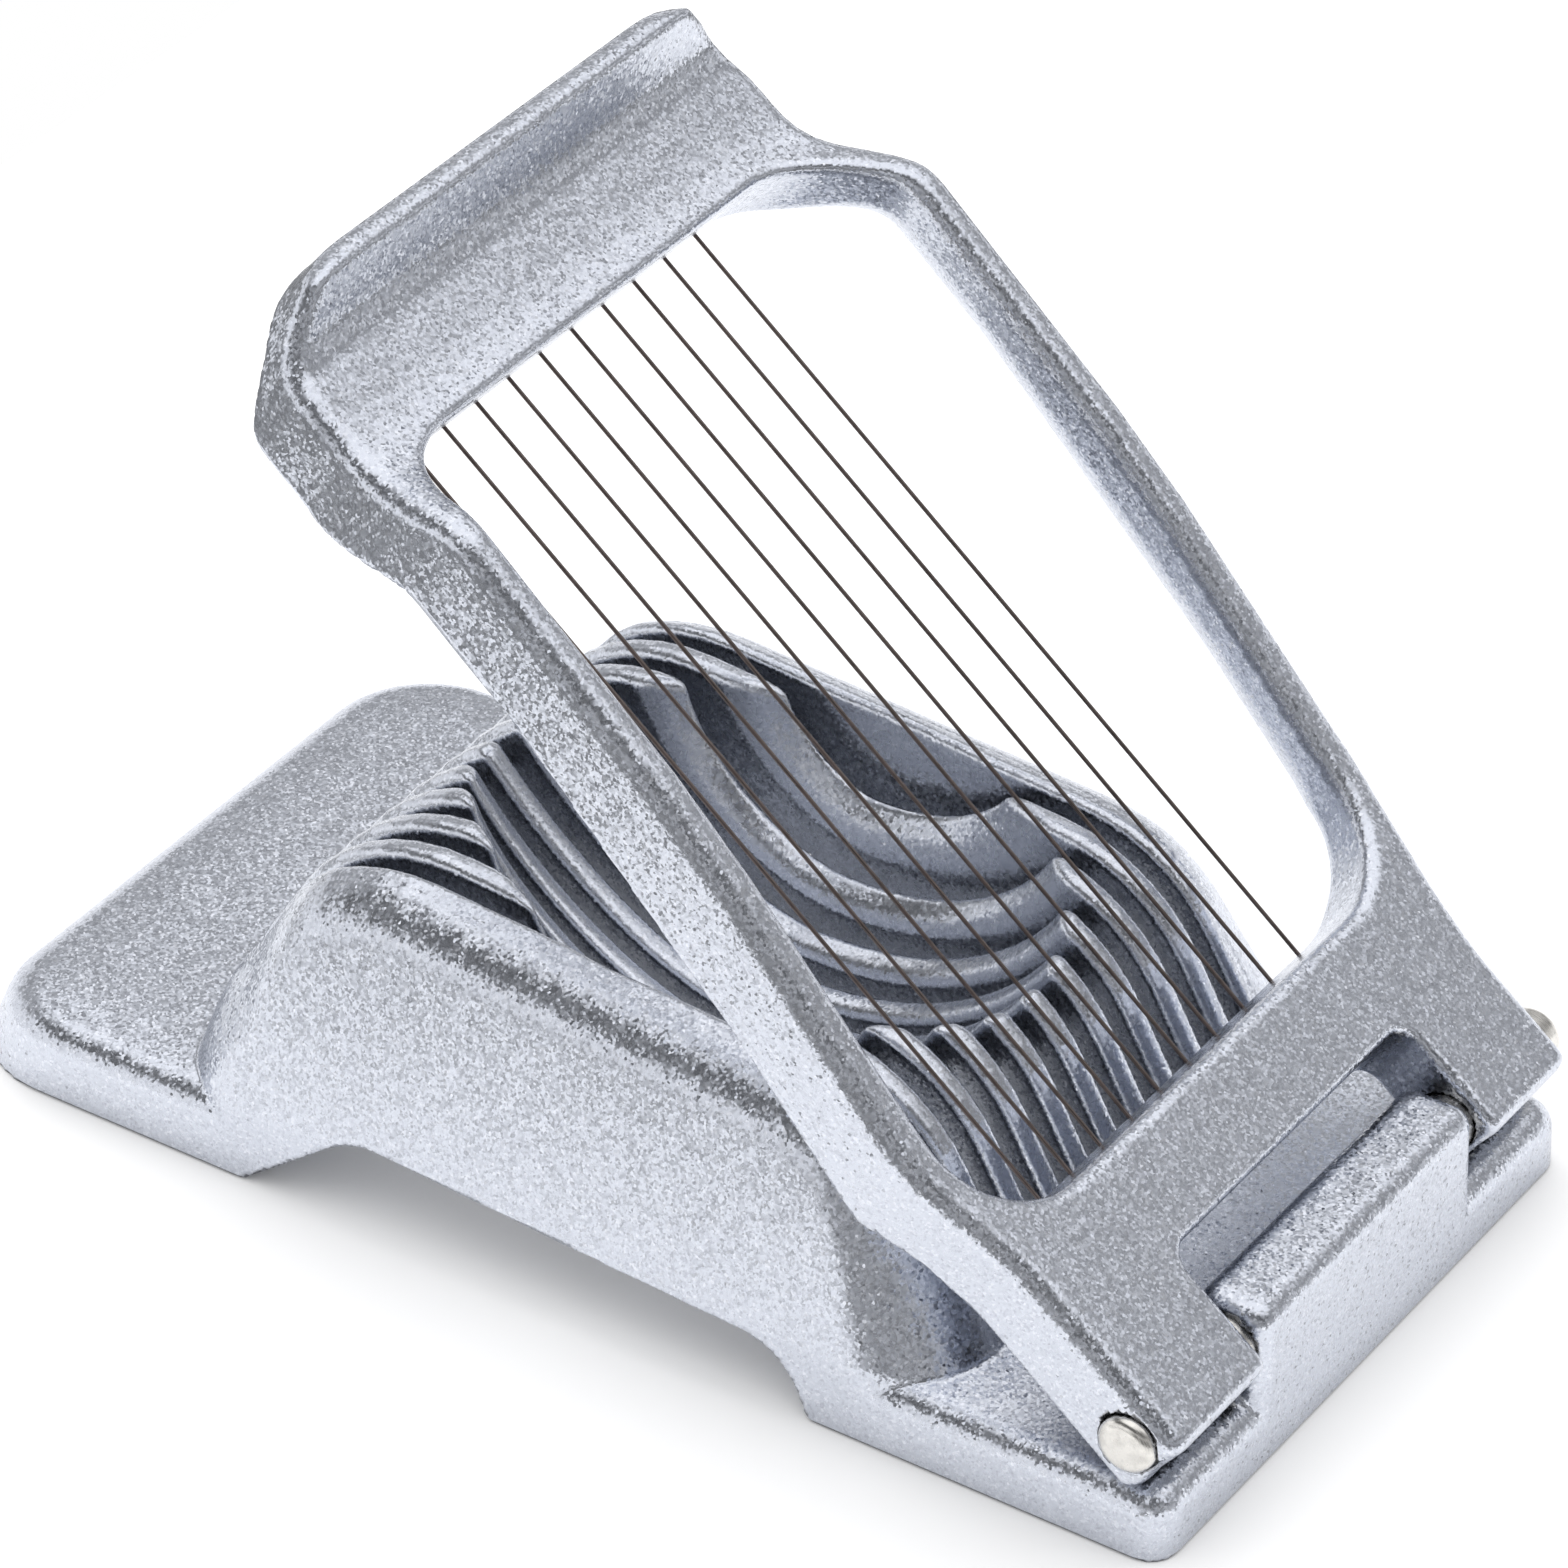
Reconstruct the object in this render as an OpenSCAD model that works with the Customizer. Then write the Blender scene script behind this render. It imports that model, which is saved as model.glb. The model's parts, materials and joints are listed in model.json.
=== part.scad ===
// Wire egg slicer: a cast, ribbed cradle and a cast wire frame that turns on a steel pin.
// Millimetres. +Z is up and +X points at the hinge. The origin is on the table, at the middle
// of the slicer's footprint. The frame is drawn part open, the way it stands on an egg.

/* [Base casting] */
// Length of the base, from the front of the tongue to the hinge end
base_len = 136.4; // [132:0.1:150]
// Width of the base at the table
base_w = 71.7; // [71.2:0.1:71.8]
// Height of the tongue's top face
tongue_h = 8.2; // [6.5:0.1:8.4]
// Height of the rear plate's top face
rear_h = 7.4; // [6:0.1:7.6]
// Corner radius of the tongue, seen from above
tongue_r = 10; // [5:0.5:14]
// Corner radius of the rear plate, seen from above
rear_r = 3.5; // [2:0.5:6]
// Inward lean of the side walls, millimetres for each millimetre of height
side_lean = 0.225; // [0.2:0.005:0.24]
// Thickness of the casting's side walls
wall_t = 3.6; // [2.5:0.1:4]
// Thickness of the tongue and the rear plate
skin_t = 3.4; // [2.5:0.1:4.5]

/* [Bed and cradle] */
// Distance from the hinge axis to the bed's rear foot
bed_gap = 19.8; // [19.7:0.1:21]
// Length of the bed between its front and rear feet
bed_len = 87; // [86:0.1:87.2]
// Height at which the bed's front end and top would meet without their round
bed_front_h = 35.1; // [33:0.1:37]
// Height at which the bed's rear end and top would meet without their round
bed_rear_h = 29.8; // [28:0.1:32]
// Radius between the bed's front end and its top
front_shoulder_r = 20; // [12:0.5:22]
// Radius between the bed's rear end and its top
rear_shoulder_r = 19; // [12:0.5:22]
// Corner radius of the bed, seen from above
bed_r = 9.5; // [8:0.1:11]
// Thickness of the ribs
rib_t = 4.6; // [3.6:0.1:5.2]
// Length of the egg-shaped hollow
cradle_len = 68; // [62:0.5:70]
// Width of the egg-shaped hollow
cradle_w = 48; // [44:0.5:50]
// Height of the lowest point of the hollow
cradle_floor = 12.2; // [11:0.1:14]
// Width of each slot that a wire drops into
slot_w = 2.2; // [1.6:0.1:2.6]
// Height of the front end of the arched opening in each side wall
arch_front_h = 9.2; // [8:0.1:10.5]
// Height of the rear end of the arched opening in each side wall
arch_rear_h = 6.6; // [5.5:0.1:7]

/* [Wires] */
// Number of cutting wires
wire_count = 10; // [8:1:10]
// Distance between neighbouring wires
wire_pitch = 5; // [4.6:0.1:5.1]
// Diameter of a wire
wire_d = 0.4; // [0.3:0.05:0.6]
// Distance of the wires below the hinge axis
wire_drop = 2.9; // [2.6:0.1:3]
// Diameter of the ferrule crimped on each wire end
ferrule_d = 1.6; // [1.4:0.1:1.8]
// Length of the ferrule crimped on each wire end
ferrule_len = 3; // [2:0.1:3.5]

/* [Wire frame] */
// Angle from the closed position to the drawn position
open_angle = 39.3; // [0:0.1:110]
// Distance from the hinge axis to the handle's tip
frame_len = 127; // [126:0.1:130]
// Distance from the hinge axis to the window's hinge end
window_start = 19.3; // [19:0.1:19.4]
// Distance from the hinge axis to the window's handle end
window_end = 107.6; // [107.4:0.1:108]
// Width of the window between the rails
window_w = 69.6; // [69:0.1:70]
// Corner radius of the window at the hinge end
window_start_r = 8.5; // [7:0.1:8.8]
// Corner radius of the window at the handle
window_end_r = 10.5; // [9:0.1:10.8]
// Width of the frame over its ears
ear_span = 72; // [68:0.1:74]
// Width of the frame over its rails
rail_span = 78.4; // [77:0.1:81]
// Width of the handle
handle_w = 70.6; // [66:0.1:73]
// Height of the rails' highest point above the hinge axis
rail_rise = 11.5; // [10:0.1:12.5]
// Height of the ears' and the handle's top face above the hinge axis
top_h = 4.6; // [4.4:0.1:4.8]
// Depth of the ears' and the handle's underside below the hinge axis
under_h = 4; // [3.9:0.1:4.1]
// Height of the handle's raised lip above the hinge axis
lip_h = 9.8; // [7:0.1:11]

/* [Hinge] */
// Height of the hinge axis above the table
hinge_z = 12.9; // [12.9:0.1:13.4]
// Distance from the hinge axis to the hinge end of the base
hinge_back = 4; // [3.9:0.1:6]
// Distance from the hinge axis to the ends of the ears
ear_back = 4.2; // [4:0.1:4.4]
// Distance from the hinge axis to the inner wall of the notch between the ears
notch_in = 9.6; // [8:0.1:10]
// Width of the hinge block at its foot
block_w = 39.4; // [30:0.1:42]
// Height of the hinge block's top
block_h = 17.4; // [17.2:0.1:18]
// Gap between the hinge block and each ear
ear_gap = 0.8; // [0.4:0.1:1.5]
// Diameter of the hinge pin
pin_d = 5.8; // [4:0.1:6]
// Distance that each end of the pin stands out of its ear
pin_proud = 0.8; // [0.3:0.1:2]
// Radial running clearance between the pin and each ear
pin_fit = 0.05; // [0.02:0.01:0.1]

/* [Hidden] */

// Bores, pins and wires are drawn as true circles of this many sides.
round_fn = 48;
// Rounded corners turn by at most this angle from one point to the next.
corner_step = 12;
// Cuts run this far past the faces that they go through.
past = 1;
plan_past = 0.2;

cast_grey = [0.72, 0.72, 0.75];
steel = [0.62, 0.60, 0.57];
brass = [0.72, 0.58, 0.34];

// The hinge axis stands this far from the origin, so that the footprint is centred on it.
ear_r = 1.5;
ear_reach = (ear_back - ear_r) * cos(open_angle) + (top_h - ear_r) * sin(open_angle) + ear_r;
hinge_x = (base_len - hinge_back - max(hinge_back, ear_reach)) / 2;

base_front = hinge_back - base_len;
plate_edge_r = 2;
draft_top = 40;

bed_rear = -bed_gap;
bed_front = -bed_gap - bed_len;
bed_mid = (bed_front + bed_rear) / 2;
front_lean = 0.34;
rear_lean = 0.56;

// Both ends of the hollow swell with a power of the distance from its middle. The front
// end is the egg's pointed end.
cradle_shift = 0.5;
cradle_x = bed_mid - cradle_shift;
cradle_z = cradle_floor + cradle_w / 2;
front_swell = [1.7, 1.1];
rear_swell = [2.2, 1.6];
cradle_steps = 9;

arch_start = bed_front + 8.6;
arch_end = bed_rear - 14.2;
arch_front_run = 12.2;
arch_rear_run = 3;
arch_r = 7.5;

block_r = 2;
block_top_w = block_w - 1.6;
block_in = 3.4;
block_foot_in = 5.2;
pin_bevel = 0.5;

rail_flat = 28;
rail_end = frame_len - 30;
neck = frame_len - 20;
notch_w = block_w + 2 * ear_gap;
notch_r = 2.5;
handle_r = 12.5;
pocket_fit = 0.1;
wire_seat = 2.4;

function two_digits(n) = n < 10 ? str("0", n) : str(n);
function wire_name(kind, n) = str(kind, "_", two_digits(n));
function wire_y(n) = (n - (wire_count + 1) / 2) * wire_pitch;

function unit(v) = v / norm(v);

// Points of an outline whose corners are given as [x, y, radius].
function rounded(corners) = [
    for (i = [0 : len(corners) - 1])
        each round_corner(
            corners[(i + len(corners) - 1) % len(corners)],
            corners[i],
            corners[(i + 1) % len(corners)]
        )
];

function round_corner(before, at, after) =
    let (corner = [at[0], at[1]], radius = at[2])
    radius == 0 ? [corner] :
    let (
        back = unit([before[0], before[1]] - corner),
        on = unit([after[0], after[1]] - corner),
        half = acos(back * on) / 2,
        centre = corner + unit(back + on) * radius / sin(half),
        first = unit(corner + back * radius / tan(half) - centre),
        last = unit(corner + on * radius / tan(half) - centre),
        turn = 180 - 2 * half,
        steps = ceil(turn / corner_step)
    )
    [
        for (i = [0 : steps])
            centre + radius / sin(turn)
                * (sin(turn * (1 - i / steps)) * first + sin(turn * i / steps) * last)
    ];

// Half-width of the base at a height.
function half_width(z) = base_w / 2 - side_lean * z;

// Radius of the egg-shaped hollow at a distance from its middle, for one end's swell.
function egg_radius(t, swell) = cradle_w / 2 * pow(1 - pow(t, swell[0]), 1 / swell[1]);

// An outline in X and Z, drawn out along Y.
module along_y(width) {
    rotate([90, 0, 0])
        linear_extrude(width, center = true)
            children();
}

// An outline in Y and Z, drawn out along X.
module along_x(start, end) {
    translate([start, 0, 0])
        rotate([90, 0, 90])
            linear_extrude(end - start)
                children();
}

module at_hinge() {
    translate([hinge_x, 0, 0])
        children();
}

// Things drawn closed, with the handle towards +X, are turned to face the front and opened.
module on_frame() {
    translate([hinge_x, 0, hinge_z])
        rotate([0, open_angle, 0])
            mirror([1, 0, 0])
                children();
}

// ---- Base casting ----

// The leaning cross-section of the base, moved in from its faces by an inset.
module lean_section(inset, top, top_r = 0) {
    polygon(rounded([
        [-half_width(-past) + inset, -past, 0],
        [half_width(-past) - inset, -past, 0],
        [half_width(top) - inset, top, top_r],
        [-half_width(top) + inset, top, top_r]
    ]));
}

// The base's outline from above. Its sides lie just outside the leaning section's.
module base_plan(inset) {
    side = base_w / 2 + plan_past - inset;
    polygon(rounded([
        [base_front + inset, -side, tongue_r - inset / 2],
        [hinge_back - inset, -side, rear_r - inset / 2],
        [hinge_back - inset, side, rear_r - inset / 2],
        [base_front + inset, side, tongue_r - inset / 2]
    ]));
}

// A flat part of the base from one X to another, with rounded top edges.
module plate(start, end, top, start_r, end_r) {
    intersection() {
        linear_extrude(top)
            base_plan(0);
        along_x(start, end)
            lean_section(0, top, plate_edge_r);
        along_y(base_w + past)
            polygon(rounded([
                [start, 0, 0],
                [end, 0, 0],
                [end, top, end_r],
                [start, top, start_r]
            ]));
    }
}

// The hollow under a plate.
module plate_hollow(start, end, top) {
    intersection() {
        translate([0, 0, -past])
            linear_extrude(top - skin_t + past)
                base_plan(wall_t);
        along_x(start, end)
            lean_section(wall_t, draft_top);
    }
}

// The bed's side outline, moved in from its ends and top by an inset.
module bed_outline(inset) {
    front_in = inset * norm([1, front_lean]);
    rear_in = inset * norm([1, rear_lean]);
    front_foot = bed_front - front_lean * (tongue_h + past) + front_in;
    rear_foot = bed_rear + rear_lean * (rear_h + past) - rear_in;
    front_top = bed_front_h - inset;
    rear_top = bed_rear_h - inset;
    polygon(rounded([
        [front_foot, -past, 0],
        [rear_foot, -past, 0],
        [rear_foot - rear_lean * (rear_top + past), rear_top, rear_shoulder_r - inset],
        [front_foot + front_lean * (front_top + past), front_top, front_shoulder_r - inset]
    ]));
}

// A corner of the bed: a round post that leans with the end wall and the side wall.
module bed_post(foot_x, foot_y, lean_x, lean_y, radius) {
    translate([foot_x, foot_y, 0])
        rotate([0, 0, atan2(lean_y, lean_x)])
            rotate([0, atan(norm([lean_x, lean_y])), 0])
                translate([0, 0, -radius])
                    cylinder(h = 2 * draft_top, r = radius, $fn = round_fn);
}

// The bed as a solid block, moved in from its sides and from its ends by two insets.
module bed_form(side_inset, end_inset) {
    post_r = bed_r - side_inset;
    post_in = side_inset + post_r;
    front_post = bed_front - front_lean * tongue_h + end_inset * norm([1, front_lean]) + post_r;
    rear_post = bed_rear + rear_lean * rear_h - end_inset * norm([1, rear_lean]) - post_r;
    intersection() {
        along_y(base_w + past)
            bed_outline(end_inset);
        along_x(base_front, hinge_back)
            lean_section(side_inset, draft_top);
        union() {
            along_x(base_front, hinge_back)
                lean_section(post_in, draft_top);
            intersection() {
                along_x(base_front, hinge_back)
                    lean_section(side_inset, draft_top);
                along_y(base_w + past)
                    polygon([
                        [front_post - front_lean * past, -past],
                        [rear_post + rear_lean * past, -past],
                        [rear_post - rear_lean * draft_top, draft_top],
                        [front_post + front_lean * draft_top, draft_top]
                    ]);
            }
            for (side = [-1, 1]) {
                foot_y = side * (half_width(0) - post_in);
                lean_y = -side * side_lean;
                bed_post(front_post, foot_y, front_lean, lean_y, post_r);
                bed_post(rear_post, foot_y, -rear_lean, lean_y, post_r);
            }
        }
    }
}

// The egg-shaped solid, grown by a thickness.
module egg(grow) {
    half = cradle_len / 2;
    front = [
        for (i = [1 : cradle_steps])
            let (t = sin(90 * i / cradle_steps))
            [egg_radius(t, front_swell) + grow, -half * t]
    ];
    rear = [
        for (i = [cradle_steps : -1 : 0])
            let (t = sin(90 * i / cradle_steps))
            [egg_radius(t, rear_swell) + grow, half * t]
    ];
    translate([cradle_x, 0, cradle_z])
        rotate([0, 90, 0])
            rotate_extrude($fn = 2 * round_fn)
                polygon(concat([[0, half + grow]], rear, front, [[0, -half - grow]]));
}

// The side outline of a slot, which goes down to the plates at the bed's feet.
module slot_outline() {
    polygon([
        [bed_front - past, tongue_h],
        [bed_mid, tongue_h],
        [bed_mid, rear_h],
        [bed_rear + past, rear_h],
        [bed_rear + past, draft_top],
        [bed_front - past, draft_top]
    ]);
}

module arch_outline() {
    polygon(rounded([
        [arch_start - arch_front_run * past / arch_front_h, -past, 0],
        [arch_start + arch_front_run, arch_front_h, arch_r],
        [arch_end - arch_rear_run, arch_rear_h, arch_r],
        [arch_end + arch_rear_run * past / arch_rear_h, -past, 0]
    ]));
}

module hinge_block() {
    intersection() {
        along_x(-2 * block_foot_in, hinge_back)
            polygon(rounded([
                [-block_w / 2, 0, 0],
                [block_w / 2, 0, 0],
                [block_top_w / 2, block_h, block_r],
                [-block_top_w / 2, block_h, block_r]
            ]));
        along_y(base_w)
            polygon(rounded([
                [-block_foot_in, rear_h - skin_t, 0],
                [hinge_back, rear_h - skin_t, 0],
                [hinge_back, block_h, block_r],
                [-block_in, block_h, block_r],
                [-block_foot_in, hinge_z - pin_d / 2, 0]
            ]));
    }
}

module base() {
    front_wall = bed_front - front_lean * tongue_h;
    rear_wall = bed_rear + past;
    color(cast_grey)
        at_hinge()
            difference() {
                union() {
                    difference() {
                        union() {
                            plate(base_front, bed_mid, tongue_h, plate_edge_r, 0);
                            plate(bed_mid, hinge_back, rear_h, 0, plate_edge_r);
                            intersection() {
                                bed_form(0, 0);
                                translate([0, 0, rear_h / 2])
                                    linear_extrude(draft_top)
                                        base_plan(0);
                            }
                        }
                        plate_hollow(base_front, front_wall, tongue_h);
                        plate_hollow(rear_wall, hinge_back, rear_h);
                        difference() {
                            bed_form(wall_t, rib_t);
                            egg(rib_t);
                        }
                        egg(0);
                        for (n = [1 : wire_count])
                            translate([0, wire_y(n), 0])
                                along_y(slot_w)
                                    slot_outline();
                        along_y(2 * base_w)
                            arch_outline();
                    }
                    hinge_block();
                }
                translate([0, 0, hinge_z])
                    rotate([90, 0, 0])
                        cylinder(h = 2 * base_w, d = pin_d, center = true, $fn = round_fn);
            }
}

// ---- Hinge pin ----

module hinge_pin() {
    half = ear_span / 2 + pin_proud;
    color(steel)
        translate([hinge_x, 0, hinge_z])
            rotate([90, 0, 0])
                rotate_extrude($fn = round_fn)
                    polygon([
                        [0, -half],
                        [pin_d / 2 - pin_bevel, -half],
                        [pin_d / 2, pin_bevel - half],
                        [pin_d / 2, half - pin_bevel],
                        [pin_d / 2 - pin_bevel, half],
                        [0, half]
                    ]);
}

// ---- Wire frame ----

// The frame's side outline: ears, rising rails and the handle with its raised lip.
module frame_outline() {
    polygon(rounded([
        [-ear_back, -under_h, 2],
        [rail_flat - 5, -under_h, 8],
        [rail_flat + 2, -under_h - 1.6, 4],
        [frame_len - 78, -2.3, 60],
        [frame_len - 43, 1.4, 30],
        [rail_end + 1.5, 1.9, 6],
        [neck + 1, -under_h, 4],
        [frame_len - 8.8, -under_h, 3],
        [frame_len - 4.2, 1.2, 3],
        [frame_len, 3, 2],
        [frame_len, lip_h - 1.2, 1.2],
        [frame_len - 2.6, lip_h, 1],
        [frame_len - 7, top_h, 5],
        [neck + 2, top_h, 12],
        [rail_end + 2.5, rail_rise + 0.5, 6],
        [frame_len - 62, rail_rise - 1.3, 90],
        [rail_flat + 2, top_h - 0.3, 40],
        [-ear_back, top_h, ear_r]
    ]));
}

// The frame's outline from above.
module frame_plan() {
    ear = ear_span / 2;
    rail = rail_span / 2;
    handle = handle_w / 2;
    side = [
        [-ear_back, ear, 2],
        [window_start - 2, ear, 15],
        [window_start + 11, rail, 20],
        [neck - 6, rail, 20],
        [neck + 2, handle, 12],
        [frame_len, handle, handle_r]
    ];
    mirrored = [for (i = [len(side) - 1 : -1 : 0]) [side[i][0], -side[i][1], side[i][2]]];
    polygon(rounded(concat(side, mirrored)));
}

module window() {
    half = window_w / 2;
    polygon(rounded([
        [window_start, -half, window_start_r],
        [window_end, -half, window_end_r],
        [window_end, half, window_end_r],
        [window_start, half, window_start_r]
    ]));
}

module notch() {
    polygon(rounded([
        [-ear_back - past, -notch_w / 2, 0],
        [notch_in, -notch_w / 2, notch_r],
        [notch_in, notch_w / 2, notch_r],
        [-ear_back - past, notch_w / 2, 0]
    ]));
}

// The hole and the pocket under a bar that hold one wire end and its ferrule. The pocket
// starts at a face and runs in the direction of +X.
module wire_anchor() {
    pocket_w = ferrule_d + 2 * pocket_fit;
    rotate([0, 90, 0])
        translate([0, 0, -wire_seat - past])
            cylinder(h = wire_seat + 2 * past, d = wire_d, $fn = round_fn);
    rotate([0, 90, 0])
        cylinder(h = ferrule_len + pocket_fit, d = pocket_w, $fn = round_fn);
    translate([0, -pocket_w / 2, -under_h])
        cube([ferrule_len + pocket_fit, pocket_w, under_h]);
}

module wire_frame() {
    color(cast_grey)
        on_frame()
            difference() {
                intersection() {
                    along_y(rail_span + past)
                        frame_outline();
                    translate([0, 0, -2 * lip_h])
                        linear_extrude(4 * lip_h)
                            frame_plan();
                }
                translate([0, 0, -2 * lip_h])
                    linear_extrude(4 * lip_h) {
                        window();
                        notch();
                    }
                rotate([90, 0, 0])
                    cylinder(
                        h = 2 * ear_span,
                        r = pin_d / 2 + pin_fit,
                        center = true,
                        $fn = round_fn
                    );
                for (n = [1 : wire_count]) {
                    translate([window_end + wire_seat, wire_y(n), -wire_drop])
                        wire_anchor();
                    translate([window_start - wire_seat, wire_y(n), -wire_drop])
                        mirror([1, 0, 0])
                            wire_anchor();
                }
            }
}

// ---- Wires ----

module wire(n) {
    reach = wire_seat + ferrule_len;
    color(steel)
        on_frame()
            translate([window_start - reach, wire_y(n), -wire_drop])
                rotate([0, 90, 0])
                    cylinder(h = window_end - window_start + 2 * reach, d = wire_d, $fn = round_fn);
}

// A ferrule that starts at one distance from the hinge axis.
module ferrule(n, start) {
    color(brass)
        on_frame()
            translate([start, wire_y(n), -wire_drop])
                rotate([0, 90, 0])
                    difference() {
                        cylinder(h = ferrule_len, d = ferrule_d, $fn = round_fn);
                        translate([0, 0, -past])
                            cylinder(h = ferrule_len + 2 * past, d = wire_d, $fn = round_fn);
                    }
}

module hinge_ferrule(n) {
    ferrule(n, window_start - wire_seat - ferrule_len);
}

module handle_ferrule(n) {
    ferrule(n, window_end + wire_seat);
}

base();
wire_frame();
hinge_pin();
for (n = [1 : wire_count]) {
    wire(n);
    hinge_ferrule(n);
    handle_ferrule(n);
}
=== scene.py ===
"""A wire egg slicer of cast aluminium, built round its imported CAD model.

Shapes are worked out in millimetres with the hinge axis at x = 0, as distances to the surface,
and meshed from those distances. The base and the wire frame are single castings.
"""

import json
import math

import bpy
import numpy as np
from mathutils import Matrix, Vector


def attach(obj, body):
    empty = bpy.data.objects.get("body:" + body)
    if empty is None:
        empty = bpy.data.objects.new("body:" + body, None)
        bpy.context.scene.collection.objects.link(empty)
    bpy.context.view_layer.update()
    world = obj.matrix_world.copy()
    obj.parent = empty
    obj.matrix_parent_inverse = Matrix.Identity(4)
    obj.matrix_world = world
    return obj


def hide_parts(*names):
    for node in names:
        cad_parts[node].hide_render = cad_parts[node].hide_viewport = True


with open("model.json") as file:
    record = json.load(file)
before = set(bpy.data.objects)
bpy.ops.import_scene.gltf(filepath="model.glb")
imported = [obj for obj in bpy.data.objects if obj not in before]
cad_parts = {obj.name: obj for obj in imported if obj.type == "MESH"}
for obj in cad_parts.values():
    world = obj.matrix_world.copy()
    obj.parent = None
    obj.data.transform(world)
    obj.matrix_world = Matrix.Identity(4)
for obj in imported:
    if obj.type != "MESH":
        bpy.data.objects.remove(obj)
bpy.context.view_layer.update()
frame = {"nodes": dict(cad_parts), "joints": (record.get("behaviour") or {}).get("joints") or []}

MM = 0.001
HINGE = frame["joints"][0]
HINGE_X = HINGE["pos_m"][0] / MM
HINGE_Z = HINGE["pos_m"][2] / MM
OPEN_ANGLE = math.radians(-HINGE["range_deg"][0])

# Base casting
BASE_FRONT = -134.2
FRONT_LEAN = 0.42
BASE_REAR = 4.0
HALF_WIDTH = 36.05
SKIRT_LEAN = 0.06
WALL_FOOT = 8.0
WALL_HALF = 35.55
WALL_LEAN = 0.275
TONGUE_TOP = 8.2
REAR_TOP = 7.5
TOP_STEP = (-60.0, -45.0)
TONGUE_CORNER = 10.6
REAR_CORNER = 3.3
PLATE_EDGE = 2.4
PLATE_CROWN = 0.55
CROWN_REACH = 8.5
FOOT_EDGE = 0.25
WALL = 3.6
RIB = 4.6
SKIN = 3.4
BASE_LOW = (BASE_FRONT - 2, 0, -1.5)
BASE_HIGH = (BASE_REAR + 2, HALF_WIDTH + 2, 37.0)

# Room inside the casting
CAVITY_CORNER = 2.0
HOLLOW_CORNER = 3.0
HOLLOW_EDGE = 1.0

# Bed: corners of its side outline as x, z and radius
BED_OUTLINE = [
    (-110.6, -6.0, 0),
    (-12.6, -6.0, 0),
    (-32.4, 29.8, 19),
    (-94.5, 34.8, 20),
    (-106.9, 15.5, 14),
]
BED_FOOT_CORNER = 9.5
BED_CREST_CORNER = 5.8
BED_SHOULDER_CORNER = 12.5
BED_SHOULDER_HEIGHTS = (9.0, 18.0)
BED_FRONT_SHOULDER = (-94.0, -104.0)
BED_REAR_SHOULDER = (-38.0, -26.0)
BED_FILLET = 0.4
BED_FILLET_RISE = 4.0
BED_MIDDLE = (-106.0, -22.0)

# Egg-shaped hollow
EGG_X = -63.8
EGG_Z = 36.2
EGG_RADIUS = 24.0
EGG_HALF = 34.0
EGG_FRONT = (1.7, 1.1)
EGG_REAR = (2.2, 1.6)
EGG_EDGE = 1.2
EGG_TIP = 0.985

# Slots
WIRE_PITCH = 5.0
SLOT_HALF = 1.1
SLOTS_HALF = 25.0
SLOT_EDGE = 1.1
SLOT_DEPTH = 3.0

# How a rib's share fades at its slot's end, at the plates and under the bed's skin
RIB_END_FADE = (0, 1.5)
RIB_FOOT_FADE = (0.2, 1.5)
RIB_SKIN_FADE = (-1.5, -0.5)

ARCH_OUTLINE = [
    (-99.53, -1.0, 0),
    (-86.0, 9.2, 8.5),
    (-37.0, 6.6, 7.5),
    (-33.55, -1.0, 0),
]
ARCH_EDGE = 0.5

# Hinge block
BLOCK_OUTLINE = [
    (-5.2, 4.0, 0),
    (4.0, 4.0, 0),
    (4.0, 17.4, 2.1),
    (-3.4, 17.4, 2.2),
    (-5.2, 10.0, 0),
]
BLOCK_HALF = 19.7
BLOCK_LEAN = 0.046
BLOCK_EDGE = 2.0
BLOCK_FILLET = 1.2
BLOCK_FILLET_RISE = 3.0

# Pin
PIN_RADIUS = 2.9
PIN_NEAR = -36.8
PIN_FAR = 37.4
PIN_ENDS = [(1.9, 0.0), (2.25, 0.06), (2.62, 0.30), (2.84, 0.62), (2.9, 0.95)]
PIN_BORE = 2.95
PIN_TURNS = 96

# Wire frame, closed: u runs from the hinge axis to the handle and w up
FRAME_OUTLINE = [
    (-4.2, -4.0, 2),
    (23.0, -4.0, 8),
    (30.0, -5.6, 4),
    (49.0, -2.3, 60),
    (84.0, 1.5, 30),
    (98.5, 1.9, 6),
    (108.0, -4.0, 4),
    (118.2, -4.0, 3),
    (122.8, 1.0, 3),
    (127.0, 3.2, 2),
    (127.0, 8.6, 1.2),
    (124.4, 9.8, 1.0),
    (120.0, 4.6, 5),
    (109.0, 4.5, 12),
    (99.5, 12.0, 6),
    (65.0, 10.2, 90),
    (30.0, 4.1, 40),
    (-4.2, 4.5, 1.5),
]
FRAME_PLAN = [
    (-4.2, 35.8, 2),
    (17.3, 35.8, 15),
    (30.3, 38.7, 20),
    (101.0, 38.7, 20),
    (109.0, 35.2, 12),
    (127.0, 35.2, 12.5),
]
FRAME_LEAN = 0.05
FRAME_LEVEL = 4.0
FRAME_EDGE = 1.9
FRAME_UNDER_EDGE = 0.6
EDGE_DEPTHS = (-7.0, -4.0)
WINDOW = (20.5, 108.1, 34.6)
WINDOW_CORNERS = (11.0, 10.5)
WINDOW_EDGE = 1.3
PARTING_DROP = 1.8
WINDOW_SLOPE = 0.29
HANDLE_DRAFT = -0.03
RAIL_START = (20.0, 34.0)
RAIL_END = (96.0, 106.0)
RAIL_OUTER = 39.2
UNDER_SLOPE = 0.9
UNDER_RUN = 9.0
NOTCH_END = 9.9
NOTCH_HALF = 20.5
NOTCH_LEAN = 0.12
NOTCH_CORNER = 2.5
NOTCH_EDGE = 0.9

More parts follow.
